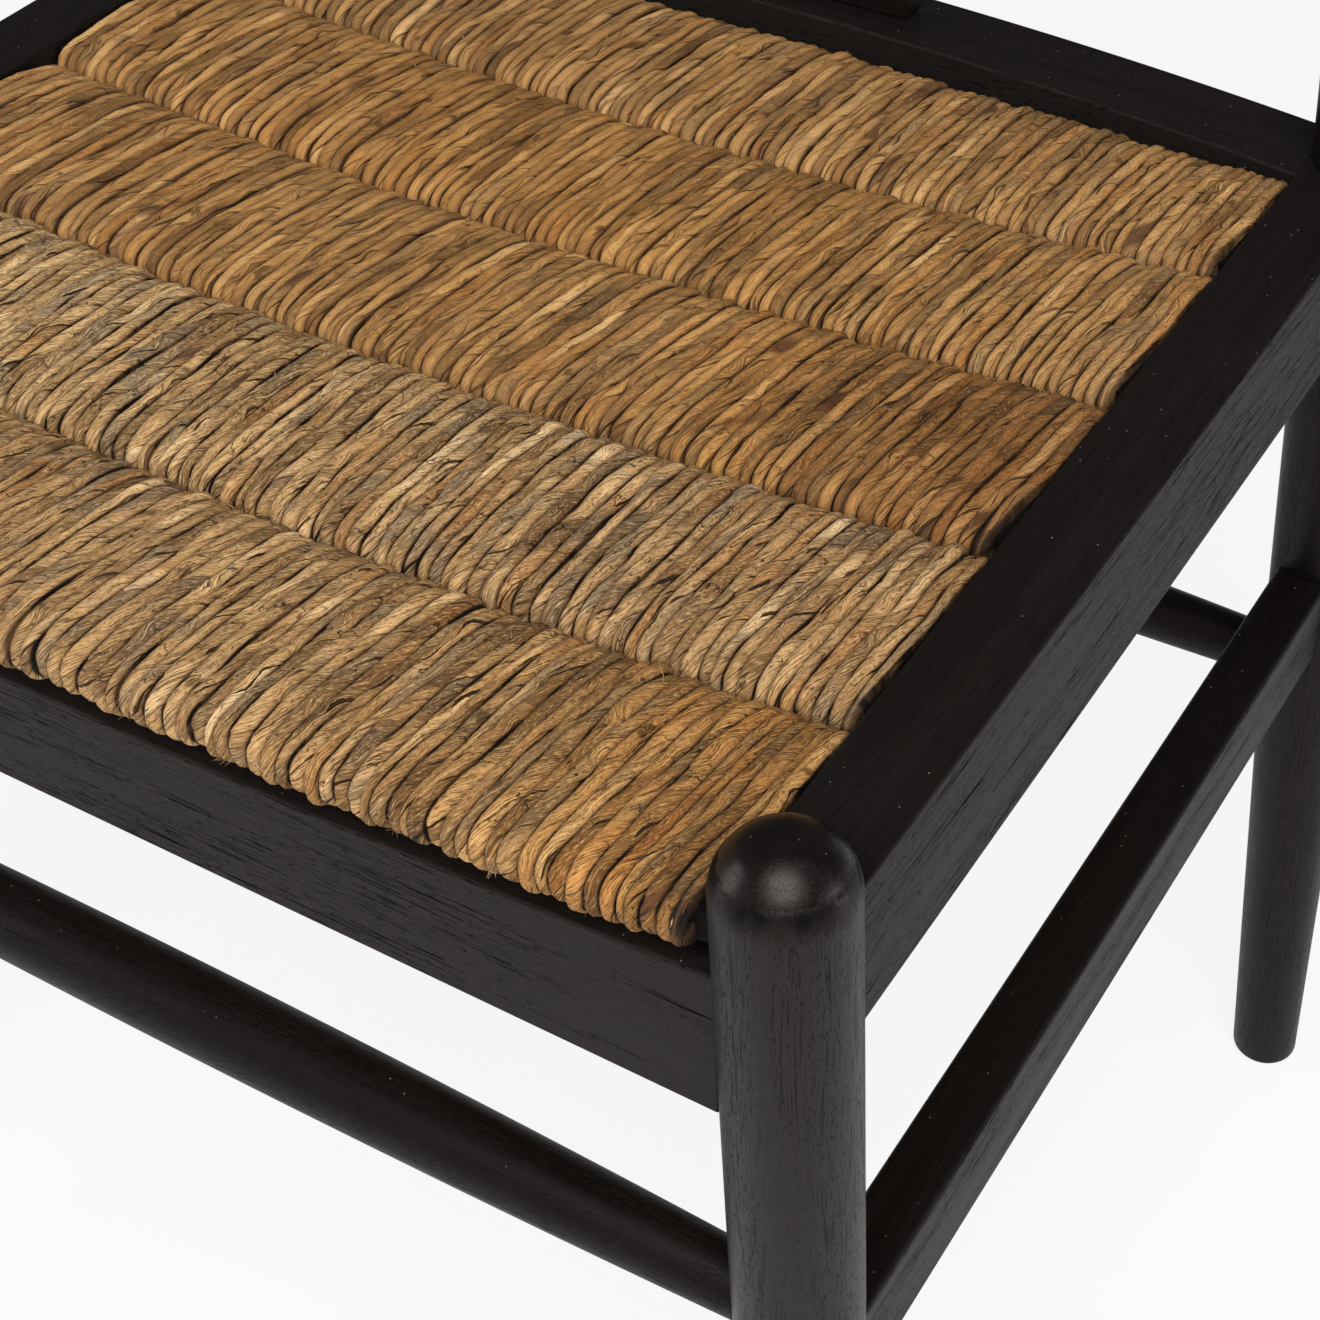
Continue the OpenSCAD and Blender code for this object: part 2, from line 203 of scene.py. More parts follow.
def black_teak(name, grain, matt=0.56, shine=0.22, stain_and_shade=1.0, lines=1.0, crease=0.0):
    """Black-stained open-pored teak whose grain runs along one axis, 0 to 2 for X to Z.

    If a crease height is given, shade is painted round the piece as a dark band below the crease
    and a thin dark line in it."""
    finish, teak = new_finish(name)
    place = teak.node("TexCoord", out="Object")
    axes = [teak.axis(place, number) for number in range(3)]
    along, across, through = (axes[(grain + step) % 3] for step in range(3))

    def figure(length, width, detail=2.0, rough=0.55, twist=0.0):
        spot = teak.node("CombineXYZ", {
            0: along * (1 / length), 1: across * (1 / width), 2: through * (1 / width)})
        return teak.node("TexNoise", {"Vector": spot, "Scale": 1.0, "Detail": detail,
                                      "Roughness": rough, "Distortion": twist})

    upward = teak.axis(teak.node("NewGeometry", out="Normal"), 2).between(0.75, 0.98)
    polish = teak.node("Attribute", out="Fac", attribute_name="polish")
    smooth = teak.maths("MAXIMUM", polish, upward * 0.75)
    unfilled = 1 - 0.85 * smooth
    rings = figure(0.16, 0.011, 3.0, 0.5, 0.6)
    streaks = figure(0.030, 0.0009, 3.0, 0.6)
    pores = figure(0.0016 + 0.0026 * lines, 0.00050, 2.0, 0.55).between(0.58, 0.65)
    pores = pores * rings.between(0.30, 0.55)
    vessels = figure(0.024, 0.00055, 2.0, 0.5).between(0.575, 0.635)
    vessels = vessels * rings.between(0.40, 0.58)
    fuzz = figure(0.0016, 0.0005, 3.0, 0.7)
    open_grain = teak.maths("MAXIMUM", pores * (0.30 + 0.45 * lines), vessels * 0.95 * lines)
    pale = (rings * 0.5 + streaks * 0.5).between(0.35, 0.68)
    # The stain is darkened by its factor; on the stretchers and the back posts that darkening is
    # painted shade under the seat
    stain = pale.tint(rgb(0.0054 * stain_and_shade, 0.0042 * stain_and_shade, 0.0038 * stain_and_shade),
                      rgb(0.0106 * stain_and_shade, 0.0083 * stain_and_shade, 0.0074 * stain_and_shade))

    # A few grains of dust lie on what faces up
    cells = {"Vector": place, "Scale": 260.0}
    dust = teak.node("TexVoronoi", cells, out="Distance").between(0.085, 0.05)
    cell = teak.node("TexVoronoi", cells, out="Position")
    draw = teak.node("TexWhiteNoise", {"Vector": cell}, out="Value")
    stain = (dust * draw.between(0.62, 0.68) * upward * 0.9).tint(stain, rgb(0.20, 0.18, 0.15))
    gloss = (matt + 0.12 * (fuzz - 0.5) - 0.08 * smooth
             + 0.08 * (rings - 0.5) + 0.10 * (streaks - 0.5))
    height = (0 - open_grain * 0.00028 * unfilled + streaks * 0.00012 * (1 - 0.8 * smooth)
              + fuzz * 0.00007 * unfilled)
    board = teak.surface(stain, gloss, height, shine, rgb(1.0, 0.87, 0.82))
    pore = teak.node("BsdfDiffuse", {"Color": rgb(0.004, 0.0037, 0.0035)})
    dark = open_grain * unfilled
    if crease:
        # Painted shade: a dark band just below the dome's crease, in patches, and a thin broken
        # dark line in the crease
        below = crease - axes[2] + (figure(0.03, 0.007) - 0.5) * 0.004
        painted_dome_shade = below.between(-0.0003, 0.0009) * below.between(0.0085, 0.0015)
        painted_dome_shade = painted_dome_shade * figure(0.03, 0.011).between(0.34, 0.58) * 0.74
        line = teak.maths("ABSOLUTE", below - 0.0002).between(0.0010, 0.0001)
        line = line * figure(0.02, 0.004).between(0.44, 0.60) * 0.62
        dark = teak.maths("MAXIMUM", dark, teak.maths("MAXIMUM", painted_dome_shade, line))
    wood = teak.node("MixShader", {0: dark, 1: board, 2: pore})
    teak.node("OutputMaterial", {"Surface": wood})
    return finish


upright = {"matt": 0.40, "shine": 0.27, "stain_and_shade": 0.7, "lines": 0.45}
teak_z_front = black_teak("black teak, grain upright, front legs", 2, crease=satin_z, **upright)


def piece(shape, name, node, finish, smooth=False):
    """A finished mesh as a piece, which stands for its node if it has one."""
    made = bpy.data.meshes.new(name)
    shape.to_mesh(made)
    shape.free()
    made.materials.append(finish)
    made.polygons.foreach_set("use_smooth", [smooth] * len(made.polygons))
    body = bpy.data.objects.new(name, made)
    bpy.context.collection.objects.link(body)
    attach(body, "root")
    if node:
        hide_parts(node)
    return body


def turned(profile, steps=96):
    """A turned shape from its outline, given as radii and heights from bottom to top."""
    shape = bmesh.new()
    line = [shape.verts.new((radius, 0, height)) for radius, height in profile]
    edges = [shape.edges.new(pair) for pair in zip(line, line[1:])]
    bmesh.ops.spin(shape, geom=line + edges, cent=(0, 0, 0), axis=(0, 0, 1),
                   angle=tau, steps=steps, use_merge=True)
    bmesh.ops.remove_doubles(shape, verts=shape.verts, dist=1e-6)
    bmesh.ops.recalc_face_normals(shape, faces=shape.faces)
    return shape


def leg_profile(top, grow=0.0):
    """Outline of a leg: the taper blends softly into the straight part, the top is a dome."""
    line = [(0, -0.02), (foot_r + grow, -0.02)]
    for step in range(25):
        height = 0.30 * step / 24
        taper = 1 - height / taper_h
        fall = 0.5 * (taper + sqrt(taper * taper + 0.004))
        line.append((leg_r + grow - (leg_r - foot_r) * fall, height))
    line += [(leg_r + grow, 0.30 + (top - leg_r - 0.30) * step / 8) for step in range(1, 9)]
    for step in range(1, 24):
        angle = pi / 2 * step / 24
        line.append(((leg_r + grow) * cos(angle), top - leg_r + (leg_r + grow) * sin(angle)))
    return line + [(0, top + grow)]


def mirror(shape):
    """Makes the left-hand shape of a right-hand one."""
    bmesh.ops.transform(shape, matrix=Matrix.Scale(-1, 4, (1, 0, 0)), verts=shape.verts)
    bmesh.ops.recalc_face_normals(shape, faces=shape.faces)


def lean(shape, y, splay, side):
    """Stands a leg on its splayed axis, on the right (1) or left (-1)."""
    swing = (Matrix.Translation((leg_x, y, seat_h)) @ Matrix.Rotation(-splay, 4, "Y")
             @ Matrix.Translation((0, 0, -seat_h)))
    bmesh.ops.transform(shape, matrix=swing, verts=shape.verts)
    if side < 0:
        mirror(shape)


def leg(name, node, place, satin_from, finish):
    """A leg from its glide up, at a place given as y, splay, side and top."""
    shape = turned(leg_profile(place[3]))
    polish = shape.verts.layers.float.new("polish")
    for vert in shape.verts:
        vert[polish] = min(1, max(0, (vert.co.z - satin_from) / 0.0008))
        if vert.co.z > satin_from and vert.co.xy.length > 0.012:
            vert.co.z -= 0.0002
    lean(shape, *place[:3])
    cut = bmesh.ops.bisect_plane(shape, geom=shape.verts[:] + shape.edges[:] + shape.faces[:],
                                 plane_co=(0, 0, glide_top), plane_no=(0, 0, -1), clear_outer=True)
    rim = [edge for edge in cut["geom_cut"] if isinstance(edge, bmesh.types.BMEdge)]
    bmesh.ops.holes_fill(shape, edges=rim, sides=0)
    bmesh.ops.bevel(shape, geom=rim, offset=0.0022, segments=4, profile=0.5,
                    affect="EDGES", material=-1)
    piece(shape, name, node, finish, smooth=True)


front_top = seat_h + 0.010 + leg_r
front_leg = {side: (front_y, front_splay, side, front_top) for side in (1, -1)}
for side, hand in ((1, "right"), (-1, "left")):
    leg(f"front_leg_{hand}_turned", f"front_leg_{hand}", front_leg[side], satin_z, teak_z_front)


# Back posts: each is one long turned piece from the floor past the crest rail, splayed
# outward, with the same taper and dome as the front legs.
back_y = 0.1965
back_splay = radians(2.7)
post_top = seat_h + 0.350
# The back posts' stain is set darker as painted shade under the seat
teak_z_low = black_teak("black teak, grain upright, back posts", 2,
                        matt=0.42, shine=0.2, stain_and_shade=0.6, lines=0.4)
back_post = {side: (back_y, back_splay, side, post_top) for side in (1, -1)}
for side, hand in ((1, "right"), (-1, "left")):
    leg(f"back_post_{hand}_turned", f"back_post_{hand}", back_post[side],
        post_top - leg_r + 0.0095, teak_z_low)


# Side rails: straight boards of upright section, each coped round the leg and the post
# that it is tenoned into. The arrises are eased by hand.
cope_gap = 0.00022
arris = 0.0011
rail_h = 0.054
rail_out = 0.250
rail_in = 0.220
teak_y = black_teak("black teak, grain front to back", 1)


def board(low, high, cuts=0):
    """A board between two corners, its length in X divided for bending."""
    shape = bmesh.new()
    bmesh.ops.create_cube(shape, size=1)
    size = Vector(high) - Vector(low)
    bmesh.ops.scale(shape, vec=size, verts=shape.verts)
    bmesh.ops.translate(shape, vec=(Vector(high) + Vector(low)) / 2, verts=shape.verts)
    if cuts:
        long_edges = [edge for edge in shape.edges
                      if abs(edge.verts[0].co.x - edge.verts[1].co.x) > 0.9 * size.x]
        bmesh.ops.subdivide_edges(shape, edges=long_edges, cuts=cuts, use_grid_fill=True)
    return shape


def ease(shape, width, segments=4):
    """Rounds every arris of a board."""
    sharp = [edge for edge in shape.edges if edge.calc_face_angle(0) > 0.6]
    bmesh.ops.bevel(shape, geom=sharp, offset=width, segments=segments, profile=0.5,
                    affect="EDGES", material=-1)


def cope(body, *legs):
    """Cuts a board's ends to the legs that it meets, given as y, splay, side and top."""
    for y, splay, side, top in legs:
        shape = turned(leg_profile(top, cope_gap))
        lean(shape, y, splay, side)
        made = bpy.data.meshes.new("cutter")
        shape.to_mesh(made)
        shape.free()
        cutter = bpy.data.objects.new("cutter", made)
        bpy.context.collection.objects.link(cutter)
        cut = body.modifiers.new("cope", "BOOLEAN")
        cut.operation = "DIFFERENCE"
        cut.solver = "EXACT"
        cut.object = cutter
        bpy.context.view_layer.update()
        seen = body.evaluated_get(bpy.context.evaluated_depsgraph_get())
        coped = bpy.data.meshes.new_from_object(seen)
        body.modifiers.clear()
        body.data = coped
        bpy.data.objects.remove(cutter)


for side, hand in ((1, "right"), (-1, "left")):
    shape = board((rail_in, front_y, seat_h - rail_h), (rail_out, back_y, seat_h))
    ease(shape, arris)
    if side < 0:
        mirror(shape)
    rail = piece(shape, f"side_rail_{hand}_board", f"side_rail_{hand}", teak_y)
    cope(rail, front_leg[side], back_post[side])


# Front rail: a board let in between the front legs, set forward of their axes. Its top
# edge is scooped to follow the sag of the seat.
dish = 0.009
dish_r = (rail_in ** 2 + dish ** 2) / (2 * dish)
front_face = front_y - 0.007
front_rail_top = seat_h - 0.025
front_rail_h = 0.055
front_rail_t = 0.022
end_gap = 0.0002
teak_x = black_teak("black teak, grain across", 0)


def sag(x):
    """How far the seat and the front rail dip at x below their height at the sides."""
    x = np.minimum(np.abs(x), rail_in)
    return np.sqrt(dish_r ** 2 - x ** 2) - sqrt(dish_r ** 2 - rail_in ** 2)


shape = board((-rail_in + end_gap, front_face, front_rail_top - front_rail_h),
              (rail_in - end_gap, front_face + front_rail_t, front_rail_top), 47)
for vert in shape.verts:
    if vert.co.z > front_rail_top - 0.001:
        vert.co.z -= float(sag(vert.co.x))

# In front of the legs' axes the ends reach a little further, to meet the round legs
bmesh.ops.bisect_plane(shape, geom=shape.verts[:] + shape.edges[:] + shape.faces[:],
                       plane_co=(0, front_y, 0), plane_no=(0, 1, 0))
for vert in shape.verts:
    if abs(vert.co.x) > 0.219 and vert.co.y < front_y - 0.001:
        vert.co.x *= 1.010
ease(shape, arris)
front_rail = piece(shape, "front_rail_board", "front_rail", teak_x)
cope(front_rail, front_leg[1], front_leg[-1])


# Back rail: a thick teak board sawn to a bow and tenoned into the two posts. It runs close
# behind the last roll.
bow = 0.016
bow_r = (rail_in ** 2 + bow ** 2) / (2 * bow)
back_rail_t = 0.0365


def bowed(low_z, high_z, thick, half, ease_by):
    """A bowed board between the posts, of a given height and thickness."""
    shape = board((-half, back_y - thick / 2, low_z), (half, back_y + thick / 2, high_z), 63)
    for vert in shape.verts:
        vert.co.y += bow - bow_r + sqrt(bow_r ** 2 - vert.co.x ** 2)
    ease(shape, ease_by)
    return shape


back_top = seat_h - 0.002
shape = bowed(back_top - rail_h, back_top, back_rail_t, rail_in - end_gap, 0.0013)
back_rail = piece(shape, "back_rail_board", "back_rail", teak_x)
cope(back_rail, back_post[1], back_post[-1])


# Side stretchers: slim teak boards of upright section, tenoned into the leg and the post
# well below the seat. Their arrises are well rounded.
str_x = 0.2455
str_top = seat_h - 0.1765
str_h = 0.038
str_half_t = 0.0105
# The stretchers' stain is set darker as painted shade under the seat
teak_y_low = black_teak("black teak, grain front to back, stretchers", 1,
                        matt=0.50, shine=0.2, stain_and_shade=0.7)
for side, hand in ((1, "right"), (-1, "left")):
    shape = board((str_x - str_half_t, front_y, str_top - str_h),
                  (str_x + str_half_t, back_y, str_top))
    ease(shape, 0.0022, 5)
    if side < 0:
        mirror(shape)
    rung = piece(shape, f"side_stretcher_{hand}_board", f"side_stretcher_{hand}",
                 teak_y_low)
    cope(rung, front_leg[side], back_post[side])


# Front and back stretchers: turned bars, thickest in the middle and thinner where they
# enter the legs.
# The stretchers' stain is set darker as painted shade under the seat
teak_x_low = black_teak("black teak, grain across, stretchers", 0,
                        matt=0.45, shine=0.2, stain_and_shade=0.5, lines=0.5)


def stretcher(name, node, z, legs):
    """A bar between the right and the left leg of a pair, at height z."""
    y, splay = legs[1][:2]
    half = leg_x + (seat_h - z) * sin(splay) / cos(splay)
    profile = [(0, -half)]
    for step in range(49):
        place = step / 24 - 1
        profile.append((0.010 + 0.004 * (1 - place ** 2), half * place))
    shape = turned(profile + [(0, half)], 64)
    bmesh.ops.rotate(shape, cent=(0, 0, 0), matrix=Matrix.Rotation(pi / 2, 3, "Y"),
                     verts=shape.verts)
    bmesh.ops.translate(shape, vec=(0, y, z), verts=shape.verts)
    bar = piece(shape, name, node, teak_x_low, smooth=True)
    cope(bar, legs[1], legs[-1])
    bar.data.set_sharp_from_angle(angle=radians(40))


stretcher("front_stretcher_turned", "front_stretcher", seat_h - 0.165, front_leg)
stretcher("back_stretcher_turned", "back_stretcher", seat_h - 0.236, back_post)


# Splat and crest rail: a flat upright board in the middle of the back, tenoned into the
# back rail and into a bowed crest rail between the posts.
crest_h = 0.072
crest_t = 0.021
crest_half_w = 0.2288
crest_top = post_top - 0.014
crest_bottom = crest_top - crest_h
splat_y = back_y + bow + 0.0015
splat_half_w = 0.049
splat_half_t = 0.006
teak_z = black_teak("black teak, grain upright", 2, **upright)
shape = board((-splat_half_w, splat_y - splat_half_t, back_top),
              (splat_half_w, splat_y + splat_half_t, crest_bottom))
ease(shape, 0.0012)
piece(shape, "back_splat_board", "back_splat", teak_z)
shape = bowed(crest_bottom, crest_top, crest_t, crest_half_w, 0.003)
crest = piece(shape, "crest_rail_board", "crest_rail", teak_x)
cope(crest, back_post[1], back_post[-1])


# Seat slats: dished boards of unfinished teak, tenoned into the side rails. The winding
# hides all but their ends, which the frame's black stain has run over.
raw_teak, raw = new_finish("raw teak")
place = raw.node("TexCoord", out="Object")
spot = raw.node("Mapping", {"Vector": place, "Scale": (12, 900, 900)})
grain = raw.noise(spot, 1.0, 3.0)
tone = grain.between(0.3, 0.7).tint(rgb(0.13, 0.07, 0.035), rgb(0.26, 0.16, 0.08))
near_rail = raw.maths("ABSOLUTE", raw.axis(place, 0))
stained = (near_rail + grain * 0.006).between(0.194, 0.202)
tone = stained.tint(tone, rgb(0.004, 0.0036, 0.0033))
raw.node("OutputMaterial", {
    "Surface": raw.surface(tone, 0.70 + 0.15 * grain, grain * 0.0001, shine=0.1)})


def dress(node, finish):
    """Gives a solid of the frame its finish."""
    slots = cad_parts[node].data.materials
    slots.clear()
    slots.append(finish)


for slat in range(1, 6):
    dress(f"seat_slat_{slat}", raw_teak)


# Seat rolls: on each slat one long cord is wound side by side, 94 turns to a roll. The
# cord is a strip of dry leaf, loosely twisted, so its edge runs round it as a spiral lap,
# and its width, colour and tightness change all along.
turns = 94
rings_per_turn = 96
cord_sides = 11
cord_r = 0.0027
cord_w = 0.0051
cord_w_least = 0.0026
cord_give = 0.0007
roll_half_t = 0.011
seat_front = front_face - 0.003
rail_inner_mid = back_y + bow - back_rail_t / 2
roll_gap = 0.0025
rear_gap = 0.0025
roll_pitch = (rail_inner_mid - rear_gap - seat_front + roll_gap) / 5
wrap_half = rail_in - 0.001
crest_z = seat_h + 0.001

leaf_cord, leaf = new_finish("twisted leaf cord")
lay = leaf.node("UVMap", uv_map="lay")
u, v = (leaf.axis(lay, number) for number in (0, 1))

# Each point of the cord knows how much shade is painted on it where it lies deep between the turns
# and at the right side rail, how yellow, dark or pale its leaf is, and how crisp its fine marks
# are
gap_shade, golden, keen = (leaf.node("Attribute", out="Fac", attribute_name=name)
                        for name in ("gap_shade", "golden", "keen"))


def leaf_noise(across, along, detail=2.0, rough=0.5, shift=0.0):
    """Noise in the leaf's own lie: cells across it per twist, and per metre along it."""
    spot = leaf.node("CombineXYZ", {0: u * across, 1: v * along, 2: shift})
    return leaf.node("TexNoise", {"Vector": spot, "Scale": 1.0, "Detail": detail,
                                  "Roughness": rough})


def marked(colour, marks):
    """A colour with marks laid over it in turn, each given as its mask and its colour."""
    for mask, mark_colour in marks:
        colour = mask.tint(colour, mark_colour)
    return colour


# The leaf's edge laps over itself, a fold runs beside it, and both gape here and there.
# Ply is one tone for each stretch between edge and fold.
ragged = (leaf_noise(3.0, 420.0, 3.0, 0.6, 13.0) - 0.5) * 0.05
edge_u = u + ragged
lap = edge_u.maths("FRACT", edge_u)
fold_u = u + 0.46 + ragged + (leaf_noise(0.0, 24.0, 2.0, 0.5, 17.0) - 0.5) * 0.9
fold = fold_u.maths("FRACT", fold_u)
ply = leaf.node("CombineXYZ", {0: edge_u.maths("FLOOR", edge_u) * 3.71,
                               1: fold_u.maths("FLOOR", fold_u) * 5.13, 2: v * 3.0})
ply = leaf.noise(ply, 1.0, 1.0)
opening = leaf_noise(0.4, 60.0, 2.0, 0.5, 19.0).between(0.50, 0.69) * 0.085 - 0.008
slit = lap.between(opening + 0.012, opening)
opening = leaf_noise(0.4, 70.0, 2.0, 0.5, 23.0).between(0.52, 0.71) * 0.075 - 0.009
tuck = fold.between(opening + 0.010, opening)
layer = leaf_noise(2.4, 70.0, 3.0, 0.5, 43.0) * 6.0
shelf = layer.maths("FRACT", layer)
crease = leaf_noise(0.9, 90.0, 2.0, 0.5, 45.0).between(0.51, 0.60)
crease = shelf.between(0.12, 0.03) * crease * keen
strip = leaf_noise(0.0, 6.0, 2.0, 0.5, 3.0)
patch = leaf_noise(0.7, 26.0, 3.0, 0.6, 7.0)
coarse = leaf_noise(13.0, 30.0, 2.0, 0.5, 5.0)
fibre = leaf_noise(34.0, 50.0, 3.0, 0.6, 1.0)
fine = leaf_noise(60.0, 110.0, 2.0, 0.6, 2.0)
crumple = leaf_noise(5.0, 260.0, 3.0, 0.6, 11.0)
speck = leaf_noise(38.0, 620.0, 2.0, 0.6, 51.0)

# Colour: from brown to straw, then warmer and greyer patches, bolder contrast where the
# marks are crisp, the leaf's own marks, whose dark ones lie in the low places of the relief
# and so are partly painted shade, its yellowing and darkening, and last painted shade at its
# laps, folds, creases and gaps and between the turns
tone = strip * 0.42 + patch * 0.38 + ply * 0.46 - 0.112
straw = leaf.node("ValToRGB", {0: tone}, stops=(
    (0.32, (0.120, 0.062, 0.024)), (0.41, (0.240, 0.131, 0.050)), (0.50, (0.410, 0.235, 0.094)),
    (0.58, (0.530, 0.315, 0.132)), (0.68, (0.720, 0.470, 0.230))))
warm = leaf_noise(0.5, 9.0, 2.0, 0.5, 29.0).between(0.52, 0.70)
olive = leaf_noise(0.8, 20.0, 3.0, 0.6, 31.0).between(0.50, 0.64)
straw = marked(straw, (
    (warm * 0.45, rgb(0.44, 0.195, 0.055)),
    (olive * (0.30 + 0.30 * keen), rgb(0.190, 0.140, 0.088))))
bold = leaf.node("Gamma", {0: straw, 1: 1.45})
bold = leaf.multiply(1.0, bold, rgb(1.72, 2.16, 3.15), clamp=True)
rot = leaf_noise(0.6, 11.0, 3.0, 0.6, 37.0).between(0.63, 0.69)
blot = leaf_noise(2.2, 75.0, 3.0, 0.6, 41.0).between(0.62, 0.70)
straw = marked(straw, (
    (keen, bold),
    # The dark fibre, fine, coarse and speck marks lie where the relief is low: partly the leaf's
    # own colour, partly painted shade
    (fibre.between(0.49, 0.34) * 0.75 * keen, rgb(0.090, 0.040, 0.012)),
    (fine.between(0.48, 0.33) * 0.62 * keen, rgb(0.110, 0.050, 0.015)),
    (fibre.between(0.54, 0.68) * 0.55 * keen, rgb(0.82, 0.56, 0.27)),
    (coarse.between(0.42, 0.28) * 0.80, rgb(0.085, 0.038, 0.013)),
    (speck.between(0.46, 0.34) * 0.75 * keen, rgb(0.080, 0.036, 0.012)),
    (speck.between(0.55, 0.66) * 0.50 * keen, rgb(0.86, 0.61, 0.32)),
    (rot * 0.8, rgb(0.075, 0.028, 0.016)),
    (blot * 0.75, rgb(0.075, 0.036, 0.014))))
straw = leaf.multiply(golden, straw, rgb(0.95, 0.80, 0.55))
# Where golden runs above 0.9 the straw is darker and greyer, and where it runs below 0 paler
straw = leaf.multiply(golden.between(0.90, 1.35), straw, rgb(0.68, 0.64, 0.655))
straw = leaf.multiply(golden.between(-0.05, -1.0), straw, rgb(1.33, 1.43, 1.50), clamp=True)
# Patches along the cord where the painted shade between the turns goes near black
deep_gap_patches = leaf_noise(0.0, 60.0, 3.0, 0.6, 47.0).between(0.42, 0.54)
straw = marked(straw, (
    # Painted shadow: dark lines at the lap edge, in the laps and folds where they gape, and along
    # the creases
    (lap.between(0.018, 0.0) * 0.8, rgb(0.055, 0.026, 0.010)),
    (slit * (0.35 + 0.60 * keen), rgb(0.018, 0.008, 0.003)),
    (tuck * (0.30 + 0.62 * keen), rgb(0.020, 0.009, 0.004)),
    (crease * 0.90, rgb(0.022, 0.010, 0.004)),
    # Painted shade: darker brown, and in patches near black, where the cord lies deep between the
    # turns and at the front of the last turn by the right side rail
    (gap_shade.between(0.08, 0.72) * (0.52 - 0.16 * keen), rgb(0.150, 0.074, 0.029)),
    (gap_shade.between(0.58, 0.95) * (0.62 + 0.20 * keen), rgb(0.058, 0.026, 0.009)),
    (gap_shade.between(0.60, 0.86) * deep_gap_patches * (0.15 + 0.85 * keen), rgb(0.008, 0.004, 0.002))))
height = (lap.between(0.0, 0.035) * 0.00050 - lap * 0.00035 - slit * 0.0006
          + fold.between(0.0, 0.035) * 0.00030 - fold * 0.00020 - tuck * 0.0005
          + shelf * 0.00026 - crease * 0.0005
          + (fibre * 0.00040 + fine * 0.00014 + crumple * 0.00060 + speck * 0.00016) * keen
          + coarse * 0.00085)
leaf.node("OutputMaterial", {
    "Surface": leaf.surface(straw, 0.66 + 0.2 * coarse, height, shine=0.25)})


def drift(chance, step):
    """A smooth random curve over the turns, of about unit size, with a knot every step.

    It goes on for 40 turns past the last, because some curves are read further along."""
    knots = chance.normal(0, 1, int((turns + 40) / step) + 4)

    def curve(t):
        place = t / step + 1
        low = np.floor(place).astype(int)
        part = place - low
        part = part * part * (3 - 2 * part)
        return knots[low] * (1 - part) + knots[low + 1] * part

    return curve


def squarish(value, power):
    """A power that keeps its value's sign, for sections with rounded corners."""
    return np.sign(value) * np.abs(value) ** power


